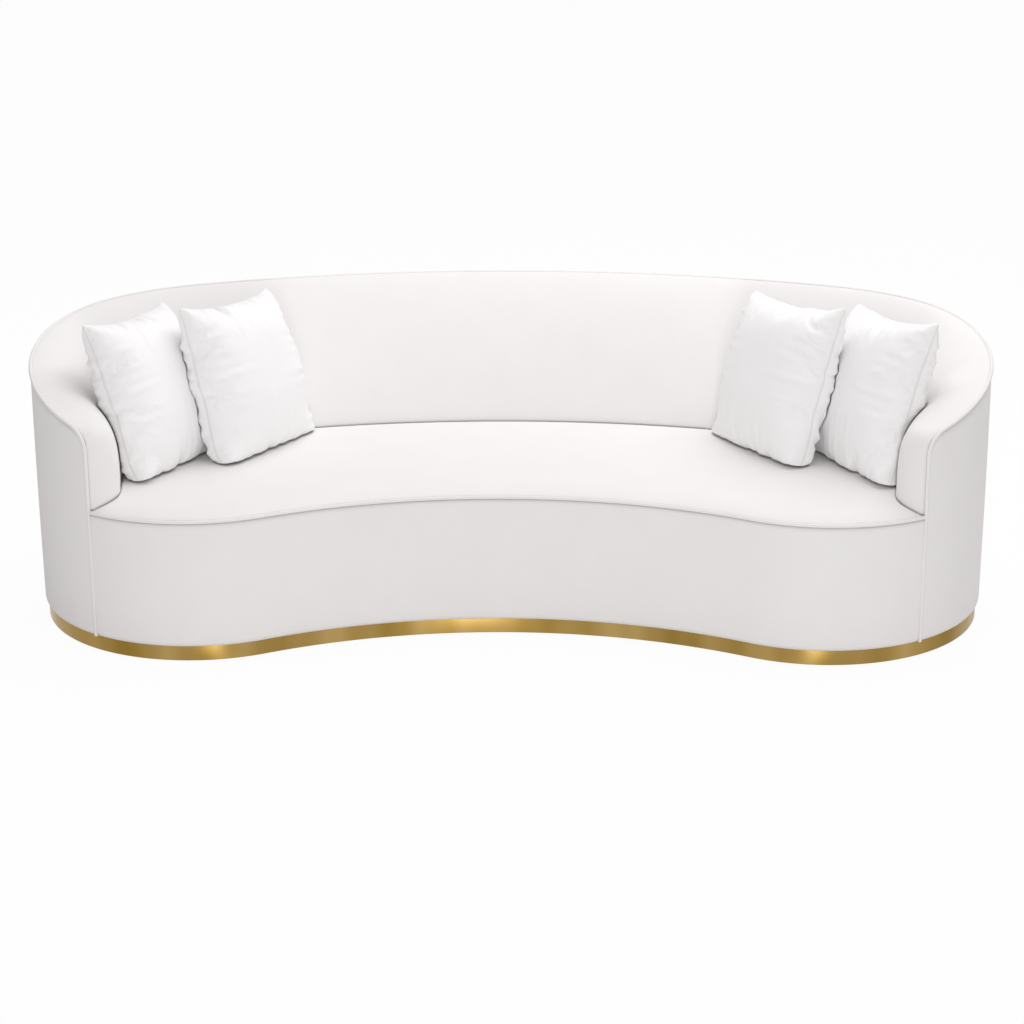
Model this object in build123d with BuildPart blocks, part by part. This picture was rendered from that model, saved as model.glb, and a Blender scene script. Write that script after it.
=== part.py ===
from build123d import *
from math import asin, atan2, cos, degrees, isclose, radians, sin, sqrt
import os

# Overall sizes. X runs along the sofa, the front faces -Y, the floor is Z = 0.
WIDTH = 2650
DEPTH = 1190
BACK_HEIGHT = 790
SEAT_HEIGHT = 410

# Kidney plan: two round lobes with a hollow between them, round corners and a bowed back.
LOBE_RADIUS = 458
HOLLOW_DEPTH = 217
CORNER_RADIUS = 600

# Rim: level along the back, then one long arc down to the seam at each arm front.
RIM_LEVEL_RUN = 290
RIM_SWEEP_RADIUS = 2250
SEAM_ANGLE = 33.5

# Thickness of the inside padding at the arm front, at the side and at the back,
# with the radius of its inner corner, at five heights from the seat up to the rim.
ARM_PAD = 128
SIDE_PAD = 250
BACK_PAD = 350
PAD_CORNER = 200
LOW_PAD_HEIGHT = 560
LOW_ARM_PAD = 122
LOW_SIDE_PAD = 205
LOW_BACK_PAD = 262
LOW_PAD_CORNER = 260
HIGH_PAD_HEIGHT = 640
HIGH_ARM_PAD = 62
HIGH_SIDE_PAD = 150
HIGH_BACK_PAD = 190
HIGH_PAD_CORNER = 330
UPPER_PAD_HEIGHT = 720
UPPER_ARM_PAD = 44
UPPER_SIDE_PAD = 98
UPPER_BACK_PAD = 116
UPPER_PAD_CORNER = 430
RIM_PAD = 30
RIM_TRIM = 5
ARM_NOSE = 0.2

# Seat padding: its crown rises in two steps from the welt to the flat middle.
SEAT_CROWN = 20
CROWN_SHOULDER_RISE = 12
CROWN_SHOULDER_RUN = 45
CROWN_FLAT_RUN = 105
CROWN_SHOULDER_GAP = 6
CROWN_FLAT_GAP = 12
SEAT_GAP = 1
CROWN_EDGE_GAP = 3
CROWN_SHOULDER_NOSE = 16
CROWN_FLAT_NOSE = 34

# Covers, the boards behind them and the welts.
COVER = 12
COVER_HEM = 9
BOARD = 4
WELT = 10
WELT_CHAMFER = 2.5
SEAM_GAP = 1

# Plinth.
GLIDE_HEIGHT = 4
GLIDE_WIDTH = 30
GLIDE_LENGTH = 50
GLIDE_INSET = 40
PLINTH_HEIGHT = 38
BAND_INSET = 10
BAND = 1.5
PLINTH_RIM = 18
BATTEN = 45
BATTEN_SPACING = 420
BATTEN_COUNT = 5
DUST_COVER = 1

# Timber frame.
RAIL = 24
RAIL_WIDTH = 70
POST = 36
POST_SET_BACK = 2
POST_WIDTH = 45
BACK_POST_COUNT = 5
CORNER_POST_COUNT = 2
FRONT_POST_COUNT = 5
SIDE_POST_ANGLE = 72
ARM_POST_WIDTH = 70
ARM_POST_ANGLE = 44
LOBE_POST_ANGLE = 8
SEAT_RAIL_HEIGHT = 236
SEAT_STRETCHER_SPACING = 600
SEAT_STRETCHER_COUNT = 3
TOP_RAIL = 25
RIM_FOAM = 40
FRAME_ANGLE = 38
FRAME_GAP = 0.5

# Elastic webbing.
STRAP = 2
STRAP_WIDTH = 60
STRAP_SPACING = 150
STRAP_COUNT = 13
STRAP_LAP = 30

# Loose cushions: size and form, then how each one leans, tips and turns, and how it stands
# against the side padding, the back padding or the cushion behind it.
CUSHION = 420
CUSHION_THICKNESS = 150
CUSHION_EDGE = 8
CUSHION_DRAW_IN = 14
CUSHION_SIDE = 386
CUSHION_SIDE_HEIGHT = 24
CUSHION_SHOULDER = 318
CUSHION_SHOULDER_HEIGHT = 47
CUSHION_CROWN = 212
CUSHION_CROWN_HEIGHT = 65
CUSHION_TOP = 90
CUSHION_LEAN_ANGLE = 20
CUSHION_TIP_ANGLE = 2
CUSHION_GAP = 0.6
OUTER_CUSHION_TURN_ANGLE = 68
OUTER_CUSHION_SINK = 24
OUTER_CUSHION_BEHIND_LOBE = 32
INNER_CUSHION_TURN_ANGLE = 60
INNER_CUSHION_STEP = 124
INNER_CUSHION_BACK_GAP = 15

# Plan arcs worked out from the sizes above.
half_width = WIDTH / 2
front_y = -DEPTH / 2
lobe_x = half_width - LOBE_RADIUS
lobe_y = front_y + LOBE_RADIUS
hollow_radius = (lobe_x**2 / HOLLOW_DEPTH + HOLLOW_DEPTH) / 2 - LOBE_RADIUS
hollow_y = front_y + HOLLOW_DEPTH - hollow_radius
hollow_turn = degrees(asin(lobe_x / (hollow_radius + LOBE_RADIUS)))
corner_x = half_width - CORNER_RADIUS
back_run = DEPTH - LOBE_RADIUS
back_radius = (half_width**2 + back_run**2 - 2 * half_width * CORNER_RADIUS) / (back_run - CORNER_RADIUS) / 2
back_y = DEPTH / 2 - back_radius
corner_turn = degrees(atan2(lobe_y - back_y, corner_x))

# Angles on a lobe, outwards from straight ahead, where the covers and the arm welt end.
welt_start = SEAM_ANGLE - degrees(SEAM_GAP / LOBE_RADIUS)
welt_end = welt_start - degrees(WELT / LOBE_RADIUS)
front_end = welt_end - degrees(SEAM_GAP / LOBE_RADIUS)

# Heights and insets worked out from the sizes above.
plinth_top = GLIDE_HEIGHT + PLINTH_HEIGHT
frame_bottom = plinth_top + DUST_COVER
bottom_rail_top = frame_bottom + RAIL
seat_rail_top = SEAT_RAIL_HEIGHT + RAIL
pad_bottom = seat_rail_top + STRAP
crown_top = SEAT_HEIGHT + SEAT_CROWN
front_cover_top = SEAT_HEIGHT - WELT - SEAM_GAP
band_back = BAND_INSET + BAND
plinth_back = band_back + PLINTH_RIM
frame_front = COVER + BOARD
post_middle = frame_front + POST_SET_BACK + POST / 2
post_back = post_middle + POST / 2
rear_rail_front = post_back + FRAME_GAP
rail_back = frame_front + RAIL_WIDTH
rim_pad_corner = CORNER_RADIUS - RIM_PAD

# Middles of the loose cushions, worked out from the padding that they lean against.
outer_cushion_x = half_width - SIDE_PAD + OUTER_CUSHION_SINK - CUSHION_THICKNESS / 2
outer_cushion_y = lobe_y + OUTER_CUSHION_BEHIND_LOBE
inner_cushion_x = outer_cushion_x - CUSHION_THICKNESS - INNER_CUSHION_STEP
inner_cushion_y = DEPTH / 2 - BACK_PAD - CUSHION / 2 - INNER_CUSHION_BACK_GAP


def front_arcs(inset, end):
    """Front edge from the left lobe through the hollow to the right lobe, drawn in by inset."""
    CenterArc((-lobe_x, lobe_y), LOBE_RADIUS - inset, 270 - end, end + hollow_turn)
    CenterArc((0, hollow_y), hollow_radius + inset, 90 - hollow_turn, 2 * hollow_turn)
    CenterArc((lobe_x, lobe_y), LOBE_RADIUS - inset, 270 - hollow_turn, hollow_turn + end)


def back_arcs(inset, start):
    """Outer edge from the right lobe round the back to the left lobe, drawn in by inset."""
    CenterArc((lobe_x, lobe_y), LOBE_RADIUS - inset, 270 + start, 90 - start)
    CenterArc((corner_x, lobe_y), CORNER_RADIUS - inset, 0, corner_turn)
    CenterArc((0, back_y), back_radius - inset, corner_turn, 180 - 2 * corner_turn)
    CenterArc((-corner_x, lobe_y), CORNER_RADIUS - inset, 180 - corner_turn, corner_turn)
    CenterArc((-lobe_x, lobe_y), LOBE_RADIUS - inset, 180, 90 - start)


def lobe_point(side, inset, angle):
    """Point on a lobe, side 1 for the right one, at an angle outwards from straight ahead."""
    radius = LOBE_RADIUS - inset
    return (side * (lobe_x + radius * sin(radians(angle))), lobe_y - radius * cos(radians(angle)))


def lobe_ends(first, second, angle):
    """The two short lines that close a strip between two insets at its lobe ends."""
    for side in (-1, 1):
        Line(lobe_point(side, first, angle), lobe_point(side, second, angle))


def pad_arcs(arm, side, back, corner, outer, angle):
    """Inner edge of the padding, from the round nose of one arm front to that of the other."""
    side_x = half_width - side
    run = back_run - back
    long_radius = (side_x**2 + run**2 - 2 * side_x * corner) / (2 * (run - corner))
    long_y = DEPTH / 2 - back - long_radius
    turn = degrees(atan2(lobe_y - long_y, side_x - corner))
    nose = ARM_NOSE * (arm - outer)
    for hand in (-1, 1):
        nose_x, nose_y = lobe_point(hand, (arm + outer) / 2, angle)
        nose_tip = (nose_x - hand * nose * cos(radians(angle)), nose_y - nose * sin(radians(angle)))
        nose_end = lobe_point(hand, arm, angle)
        ThreePointArc(lobe_point(hand, outer, angle), nose_tip, nose_end)
        TangentArc((hand * side_x, lobe_y), nose_end, tangent=(0, -1))
        CenterArc((hand * (side_x - corner), lobe_y), corner, 0 if hand > 0 else 180 - turn, turn)
    CenterArc((0, long_y), long_radius, turn, 180 - 2 * turn)


def front_line(x, inset):
    """Y of the front edge at x, drawn in by inset."""
    if abs(x) < (hollow_radius + inset) * sin(radians(hollow_turn)):
        return hollow_y + sqrt((hollow_radius + inset) ** 2 - x**2)
    return lobe_y - sqrt((LOBE_RADIUS - inset) ** 2 - (abs(x) - lobe_x) ** 2)


def back_line(x, inset):
    """Y of the back edge at x, drawn in by inset."""
    if abs(x) < (back_radius - inset) * cos(radians(corner_turn)):
        return back_y + sqrt((back_radius - inset) ** 2 - x**2)
    return lobe_y + sqrt((CORNER_RADIUS - inset) ** 2 - (abs(x) - corner_x) ** 2)


def bars(count, spacing, width, front_inset, back_inset):
    """Front to back bars of one width, each as long as fits between two curved edges."""
    for i in range(count):
        x = (i - (count - 1) / 2) * spacing
        edges = (x - width / 2, x, x + width / 2)
        start = max(front_line(edge, front_inset) for edge in edges)
        end = min(back_line(edge, back_inset) for edge in edges)
        with Locations((x, (start + end) / 2)):
            Rectangle(width, end - start)


def cushion_ring(middle, height, size):
    """Points round a cushion at a height over its middle plane: a square whose sides are drawn in towards
    their middles, in proportion, by four straight runs each."""
    c = size / 2
    bow = CUSHION_DRAW_IN * size / CUSHION
    side = [(-c, -c), (-c / 2, 0.75 * bow - c), (0, bow - c), (c / 2, 0.75 * bow - c)]
    half = side + [(-y, x) for x, y in side]
    return [middle.from_local_coords((x, y, height)) for x, y in half + [(-x, -y) for x, y in half]]


def under_rim(drop):
    """All the space that lies lower than the rim by drop, from the rim's side profile."""
    start_y = front_y - COVER
    end_y = DEPTH / 2 + COVER
    level_y = DEPTH / 2 - RIM_LEVEL_RUN
    top = BACK_HEIGHT - drop
    low = top - RIM_SWEEP_RADIUS + sqrt(RIM_SWEEP_RADIUS**2 - (level_y - start_y) ** 2)
    with BuildPart() as space:
        with BuildSketch(Plane.YZ):
            with BuildLine():
                Polyline((start_y, low), (start_y, 0), (end_y, 0), (end_y, top), (level_y, top))
                TangentArc((level_y, top), (start_y, low), tangent=(-1, 0))
            make_face()
        extrude(amount=half_width + COVER, both=True)
    return space.part


def hem_edges(cover, *radii):
    """Arcs of the outer edge, known by their radii, along the foot of a cover."""
    foot = cover.edges().group_by(Axis.Z)[0].filter_by(GeomType.CIRCLE)
    return foot.filter_by(lambda edge: any(isclose(edge.radius, radius) for radius in radii))


def write(piece, name):
    """Labels a finished piece and writes it."""
    piece.part.label = name
    export_step(piece.part, f"parts/{name}.step")


os.makedirs("parts", exist_ok=True)
rim_space = under_rim(0)
cover_space = under_rim(WELT + SEAM_GAP)
rail_space = under_rim(RIM_FOAM)
post_space = under_rim(RIM_FOAM + TOP_RAIL)

# Plinth: a polished metal strip on bent plywood rims, with battens across and nylon glides.
with BuildPart() as plinth_band_front:
    with BuildSketch(Plane.XY.offset(GLIDE_HEIGHT)):
        with BuildLine():
            front_arcs(BAND_INSET, welt_start)
            front_arcs(band_back, welt_start)
            lobe_ends(BAND_INSET, band_back, welt_start)
        make_face()
    extrude(amount=PLINTH_HEIGHT)
write(plinth_band_front, "plinth_band_front")

with BuildPart() as plinth_band_back:
    with BuildSketch(Plane.XY.offset(GLIDE_HEIGHT)):
        with BuildLine():
            back_arcs(BAND_INSET, SEAM_ANGLE)
            back_arcs(band_back, SEAM_ANGLE)
            lobe_ends(BAND_INSET, band_back, SEAM_ANGLE)
        make_face()
    extrude(amount=PLINTH_HEIGHT)
write(plinth_band_back, "plinth_band_back")

with BuildPart() as plinth_rim_front:
    with BuildSketch(Plane.XY.offset(GLIDE_HEIGHT)):
        with BuildLine():
            front_arcs(band_back, welt_start)
            front_arcs(plinth_back, welt_start)
            lobe_ends(band_back, plinth_back, welt_start)
        make_face()
    extrude(amount=PLINTH_HEIGHT)
write(plinth_rim_front, "plinth_rim_front")

with BuildPart() as plinth_rim_back:
    with BuildSketch(Plane.XY.offset(GLIDE_HEIGHT)):
        with BuildLine():
            back_arcs(band_back, SEAM_ANGLE)
            back_arcs(plinth_back, SEAM_ANGLE)
            lobe_ends(band_back, plinth_back, SEAM_ANGLE)
        make_face()
    extrude(amount=PLINTH_HEIGHT)
write(plinth_rim_back, "plinth_rim_back")

with BuildPart() as plinth_battens:
    with BuildSketch(Plane.XY.offset(GLIDE_HEIGHT)):
        bars(BATTEN_COUNT, BATTEN_SPACING, BATTEN, plinth_back + FRAME_GAP, plinth_back + FRAME_GAP)
    extrude(amount=PLINTH_HEIGHT)
write(plinth_battens, "plinth_battens")

with BuildPart() as glides:
    with BuildSketch(Plane.XY):
        for i in range(BATTEN_COUNT):
            x = (i - (BATTEN_COUNT - 1) / 2) * BATTEN_SPACING
            inset = plinth_back + GLIDE_INSET
            with Locations((x, front_line(x, inset)), (x, back_line(x, inset))):
                Rectangle(GLIDE_WIDTH, GLIDE_LENGTH)
    extrude(amount=GLIDE_HEIGHT)
write(glides, "glides")

# Dust cover: a thin cloth stapled under the frame.
with BuildPart() as dust_cover:
    with BuildSketch(Plane.XY.offset(plinth_top)):
        with BuildLine():
            front_arcs(frame_front, SEAM_ANGLE)
            back_arcs(frame_front, SEAM_ANGLE)
        make_face()
    extrude(amount=DUST_COVER)
write(dust_cover, "dust_cover")

# Bottom frame: two curved rails cut from thick plywood and straight stretchers between them.
with BuildPart() as bottom_rail_front:
    with BuildSketch(Plane.XY.offset(frame_bottom)):
        with BuildLine():
            front_arcs(frame_front, welt_start)
            front_arcs(rail_back, welt_start)
            lobe_ends(frame_front, rail_back, welt_start)
        make_face()
    extrude(amount=RAIL)
write(bottom_rail_front, "bottom_rail_front")

with BuildPart() as bottom_rail_back:
    with BuildSketch(Plane.XY.offset(frame_bottom)):
        with BuildLine():
            back_arcs(frame_front, SEAM_ANGLE)
            back_arcs(rail_back, SEAM_ANGLE)
            lobe_ends(frame_front, rail_back, SEAM_ANGLE)
        make_face()
    extrude(amount=RAIL)
write(bottom_rail_back, "bottom_rail_back")

with BuildPart() as bottom_stretchers:
    with BuildSketch(Plane.XY.offset(frame_bottom)):
        bars(BATTEN_COUNT, BATTEN_SPACING, BATTEN, rail_back + FRAME_GAP, rail_back + FRAME_GAP)
    extrude(amount=RAIL)
write(bottom_stretchers, "bottom_stretchers")

# Front posts: short uprights that carry the front seat rail.
with BuildPart() as front_posts:
    with BuildSketch(Plane.XY.offset(bottom_rail_top)):
        with Locations((0, hollow_y)):
            with PolarLocations(hollow_radius + post_middle, FRONT_POST_COUNT, 90 - hollow_turn * 0.8,
                                hollow_turn * 1.6, endpoint=True):
                Rectangle(POST, POST_WIDTH)
        for hand in (-1, 1):
            angle = 270 + hand * LOBE_POST_ANGLE
            with Locations((hand * lobe_x, lobe_y)):
                with PolarLocations(LOBE_RADIUS - post_middle, 1, angle):
                    Rectangle(POST, POST_WIDTH)
    extrude(amount=SEAT_RAIL_HEIGHT - bottom_rail_top)
write(front_posts, "front_posts")

# Seat frame: curved rails at the front and the back, and stretchers that keep them apart.
with BuildPart() as seat_rail_front:
    with BuildSketch(Plane.XY.offset(SEAT_RAIL_HEIGHT)):
        with BuildLine():
            front_arcs(frame_front, welt_start)
            front_arcs(rail_back, welt_start)
            lobe_ends(frame_front, rail_back, welt_start)
        make_face()
    extrude(amount=RAIL)
write(seat_rail_front, "seat_rail_front")

with BuildPart() as seat_rail_back:
    with BuildSketch(Plane.XY.offset(SEAT_RAIL_HEIGHT)):
        with BuildLine():
            back_arcs(rear_rail_front, FRAME_ANGLE)
            back_arcs(rear_rail_front + RAIL_WIDTH, FRAME_ANGLE)
            lobe_ends(rear_rail_front, rear_rail_front + RAIL_WIDTH, FRAME_ANGLE)
        make_face()
    extrude(amount=RAIL)
write(seat_rail_back, "seat_rail_back")

with BuildPart() as seat_stretchers:
    with BuildSketch(Plane.XY.offset(SEAT_RAIL_HEIGHT)):
        bars(SEAT_STRETCHER_COUNT, SEAT_STRETCHER_SPACING, BATTEN, rail_back + FRAME_GAP,
             rear_rail_front + RAIL_WIDTH + FRAME_GAP)
    extrude(amount=RAIL)
write(seat_stretchers, "seat_stretchers")

# Webbing: elastic straps stretched from the front seat rail to the back one.
with BuildPart() as webbing_straps:
    with BuildSketch(Plane.XY.offset(seat_rail_top)):
        bars(STRAP_COUNT, STRAP_SPACING, STRAP_WIDTH, rail_back - STRAP_LAP,
             rear_rail_front + RAIL_WIDTH - STRAP_LAP)
    extrude(amount=STRAP)
write(webbing_straps, "webbing_straps")

# Back posts: uprights all along the back and the sides, each cut to the rim's fall.
with BuildPart() as back_posts:
    with BuildSketch(Plane.XY.offset(bottom_rail_top)):
        with Locations((0, back_y)):
            with PolarLocations(back_radius - post_middle, BACK_POST_COUNT, corner_turn,
                                180 - 2 * corner_turn, endpoint=True):
                Rectangle(POST, POST_WIDTH)
        for hand in (-1, 1):
            step = corner_turn / (CORNER_POST_COUNT + 1)
            first = step if hand > 0 else 180 - corner_turn + step
            with Locations((hand * corner_x, lobe_y)):
                with PolarLocations(CORNER_RADIUS - post_middle, CORNER_POST_COUNT, first,
                                    step * (CORNER_POST_COUNT - 1), endpoint=True):
                    Rectangle(POST, POST_WIDTH)
            with Locations((hand * lobe_x, lobe_y)):
                with PolarLocations(LOBE_RADIUS - post_middle, 1, 270 + hand * SIDE_POST_ANGLE):
                    Rectangle(POST, POST_WIDTH)
    extrude(amount=BACK_HEIGHT)
    add(post_space, mode=Mode.INTERSECT)
write(back_posts, "back_posts")

# Arm posts: a wider upright behind each arm front.
for name, hand in (("arm_post_left", -1), ("arm_post_right", 1)):
    with BuildPart() as arm_post:
        with BuildSketch(Plane.XY.offset(bottom_rail_top)):
            with Locations((hand * lobe_x, lobe_y)):
                with PolarLocations(LOBE_RADIUS - post_middle, 1, 270 + hand * ARM_POST_ANGLE):
                    Rectangle(POST, ARM_POST_WIDTH)
        extrude(amount=BACK_HEIGHT)
        add(post_space, mode=Mode.INTERSECT)
    write(arm_post, name)

# Top rail: laminated timber that follows the rim round the back and down the arms.
with BuildPart() as top_rail:
    with BuildSketch(Plane.XY.offset(bottom_rail_top)):
        with BuildLine():
            back_arcs(frame_front, FRAME_ANGLE)
            back_arcs(post_back, FRAME_ANGLE)
            lobe_ends(frame_front, post_back, FRAME_ANGLE)
        make_face()
    extrude(amount=BACK_HEIGHT)
    add(rail_space, mode=Mode.INTERSECT)
    add(post_space, mode=Mode.SUBTRACT)
write(top_rail, "top_rail")

# Boards: thin bent sheets that give the covers a firm, even curve.
with BuildPart() as outside_board:
    with BuildSketch(Plane.XY.offset(frame_bottom)):
        with BuildLine():
            back_arcs(COVER, FRAME_ANGLE)
            back_arcs(frame_front, FRAME_ANGLE)
            lobe_ends(COVER, frame_front, FRAME_ANGLE)
        make_face()
    extrude(amount=BACK_HEIGHT)
    add(rail_space, mode=Mode.INTERSECT)
write(outside_board, "outside_board")

with BuildPart() as front_board:
    with BuildSketch(Plane.XY.offset(frame_bottom)):
        with BuildLine():
            front_arcs(COVER, front_end)
            front_arcs(frame_front, front_end)
            lobe_ends(COVER, frame_front, front_end)
        make_face()
    extrude(amount=seat_rail_top - frame_bottom)
write(front_board, "front_board")

# Outside cover: one padded panel from arm front to arm front, its hem rolled under.
with BuildPart() as outside_cover:
    with BuildSketch(Plane.XY.offset(frame_bottom)):
        with BuildLine():
            back_arcs(0, SEAM_ANGLE)
            back_arcs(COVER, SEAM_ANGLE)
            lobe_ends(0, COVER, SEAM_ANGLE)
        make_face()
    extrude(amount=BACK_HEIGHT)
    add(cover_space, mode=Mode.INTERSECT)
    chamfer(hem_edges(outside_cover, LOBE_RADIUS, CORNER_RADIUS, back_radius), COVER_HEM)
write(outside_cover, "outside_cover")

# Front cover: a padded apron under the seat welt, its hem rolled under.
with BuildPart() as front_cover:
    with BuildSketch(Plane.XY.offset(frame_bottom)):
        with BuildLine():
            front_arcs(0, front_end)
            front_arcs(COVER, front_end)
            lobe_ends(0, COVER, front_end)
        make_face()
    extrude(amount=front_cover_top - frame_bottom)
    chamfer(hem_edges(front_cover, LOBE_RADIUS, hollow_radius), COVER_HEM)
write(front_cover, "front_cover")

# Inside padding: thick sculpted foam under one cover, upright at the arms and sloping at the back,
# which wraps over the top rail to the rim.
with BuildPart() as frame_space:
    with BuildSketch(Plane.XY):
        with BuildLine():
            back_arcs(0, FRAME_ANGLE - degrees(FRAME_GAP / LOBE_RADIUS))
            back_arcs(post_back + FRAME_GAP, FRAME_ANGLE - degrees(FRAME_GAP / LOBE_RADIUS))
            lobe_ends(0, post_back + FRAME_GAP, FRAME_ANGLE - degrees(FRAME_GAP / LOBE_RADIUS))
        make_face()
    extrude(amount=BACK_HEIGHT)
    add(under_rim(RIM_FOAM - FRAME_GAP), mode=Mode.INTERSECT)

with BuildPart() as inside_back:
    with BuildSketch(Plane.XY.offset(pad_bottom)):
        with BuildLine():
            back_arcs(COVER + FRAME_GAP, SEAM_ANGLE)
            pad_arcs(ARM_PAD, SIDE_PAD, BACK_PAD, PAD_CORNER, COVER + FRAME_GAP, SEAM_ANGLE)
        make_face()
    extrude(amount=crown_top - pad_bottom)
    for height, arm, side, back, corner in (
        (crown_top, ARM_PAD, SIDE_PAD, BACK_PAD, PAD_CORNER),
        (LOW_PAD_HEIGHT, LOW_ARM_PAD, LOW_SIDE_PAD, LOW_BACK_PAD, LOW_PAD_CORNER),
        (HIGH_PAD_HEIGHT, HIGH_ARM_PAD, HIGH_SIDE_PAD, HIGH_BACK_PAD, HIGH_PAD_CORNER),
        (UPPER_PAD_HEIGHT, UPPER_ARM_PAD, UPPER_SIDE_PAD, UPPER_BACK_PAD, UPPER_PAD_CORNER),
        (BACK_HEIGHT + RIM_TRIM, RIM_PAD, RIM_PAD, RIM_PAD, rim_pad_corner),
    ):
        with BuildSketch(Plane.XY.offset(height)):
            with BuildLine():
                back_arcs(COVER + FRAME_GAP, SEAM_ANGLE)
                pad_arcs(arm, side, back, corner, COVER + FRAME_GAP, SEAM_ANGLE)
            make_face()
    loft(ruled=True)
    add(rim_space, mode=Mode.INTERSECT)
    add(frame_space.part, mode=Mode.SUBTRACT)
write(inside_back, "inside_back")

# Seat: one tight foam pad on the webbing, with a crown that overhangs the welt a little.
with BuildPart() as seat:
    with BuildSketch(Plane.XY.offset(pad_bottom)):
        with BuildLine():
            front_arcs(COVER + SEAT_GAP, front_end)
            pad_arcs(ARM_PAD + SEAT_GAP, SIDE_PAD + SEAT_GAP, BACK_PAD + SEAT_GAP, PAD_CORNER,
                     COVER + SEAT_GAP, front_end)
        make_face()
    extrude(amount=SEAT_HEIGHT - pad_bottom)
    for height, run, gap, nose_gap in (
        (SEAT_HEIGHT, SEAT_GAP, CROWN_EDGE_GAP, SEAT_GAP),
        (SEAT_HEIGHT + CROWN_SHOULDER_RISE, CROWN_SHOULDER_RUN, CROWN_SHOULDER_GAP, CROWN_SHOULDER_NOSE),
        (crown_top, CROWN_FLAT_RUN, CROWN_FLAT_GAP, CROWN_FLAT_NOSE),
    ):
        angle = front_end - degrees(nose_gap / LOBE_RADIUS)
        with BuildSketch(Plane.XY.offset(height)):
            with BuildLine():
                front_arcs(run, angle)
                pad_arcs(ARM_PAD + gap, SIDE_PAD + gap, BACK_PAD + gap, PAD_CORNER, run, angle)
            make_face()
    loft(ruled=True)
write(seat, "seat")

# Welts: fabric covered cord along the seat front, along the rim and down the arm fronts.
with BuildPart() as seat_welt:
    with BuildSketch(Plane.XY.offset(SEAT_HEIGHT - WELT - SEAM_GAP / 2)):
        with BuildLine():
            front_arcs(0, front_end)
            front_arcs(WELT, front_end)
            lobe_ends(0, WELT, front_end)
        make_face()
    extrude(amount=WELT)
    chamfer(seat_welt.edges().filter_by(GeomType.CIRCLE), WELT_CHAMFER)
write(seat_welt, "seat_welt")

with BuildPart() as rim_welt:
    with BuildSketch(Plane.XY):
        with BuildLine():
            back_arcs(0, SEAM_ANGLE)
            back_arcs(WELT, SEAM_ANGLE)
            lobe_ends(0, WELT, SEAM_ANGLE)
        make_face()
    extrude(amount=BACK_HEIGHT)
    add(rim_space, mode=Mode.INTERSECT)
    add(under_rim(WELT), mode=Mode.SUBTRACT)
write(rim_welt, "rim_welt")

for name, hand in (("arm_welt_left", -1), ("arm_welt_right", 1)):
    with BuildPart() as arm_welt:
        with BuildSketch(Plane.XY.offset(frame_bottom)):
            with Locations((hand * lobe_x, lobe_y)):
                angle = 270 + hand * (welt_start + welt_end) / 2
                with PolarLocations(LOBE_RADIUS - WELT / 2 - SEAM_GAP, 1, angle):
                    Rectangle(WELT, WELT)
        extrude(amount=BACK_HEIGHT)
        add(rim_space, mode=Mode.INTERSECT)
        chamfer(arm_welt.edges().filter_by(Axis.Z), WELT_CHAMFER)
    write(arm_welt, name)

# Loose cushions: square covers sewn knife edge, drawn in along the sides and full in the middle.
lean = radians(CUSHION_LEAN_ANGLE)
tip = radians(CUSHION_TIP_ANGLE)
cushion_drop = CUSHION / 2 * (sin(tip) + cos(tip)) * cos(lean) + CUSHION_EDGE / 2 * sin(lean)
cushion_z = crown_top + CUSHION_GAP + cushion_drop
for name, hand, x, y, turn in (
    ("cushion_left_outer", -1, outer_cushion_x, outer_cushion_y, OUTER_CUSHION_TURN_ANGLE),
    ("cushion_left_inner", -1, inner_cushion_x, inner_cushion_y, INNER_CUSHION_TURN_ANGLE),
    ("cushion_right_inner", 1, inner_cushion_x, inner_cushion_y, INNER_CUSHION_TURN_ANGLE),
    ("cushion_right_outer", 1, outer_cushion_x, outer_cushion_y, OUTER_CUSHION_TURN_ANGLE),
):
    heading = radians(-hand * turn)
    across = Vector(cos(heading), sin(heading), 0)
    facing = Vector(sin(heading), -cos(heading), 0)
    upwards = Vector(0, 0, cos(lean)) - facing * sin(lean)
    tipped = across * cos(tip) + upwards * (hand * sin(tip))
    middle = Plane(origin=(hand * x, y, cushion_z), x_dir=tipped, z_dir=across.cross(upwards))
    levels = (
        (CUSHION_EDGE / 2, CUSHION),
        (CUSHION_SIDE_HEIGHT, CUSHION_SIDE),
        (CUSHION_SHOULDER_HEIGHT, CUSHION_SHOULDER),
        (CUSHION_CROWN_HEIGHT, CUSHION_CROWN),
        (CUSHION_THICKNESS / 2, CUSHION_TOP),
    )
    rings = [cushion_ring(middle, -height, size) for height, size in levels[::-1]]
    rings += [cushion_ring(middle, height, size) for height, size in levels]
    panels = [Face(Wire.make_polygon(ring)) for ring in (rings[0], rings[-1])]
    for lower, upper in zip(rings, rings[1:]):
        for i in range(len(lower)):
            panels.append(Face(Wire.make_polygon((lower[i - 1], lower[i], upper[i], upper[i - 1]))))
    with BuildPart() as cushion:
        add(Solid(Shell(panels)))
    write(cushion, name)
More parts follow.
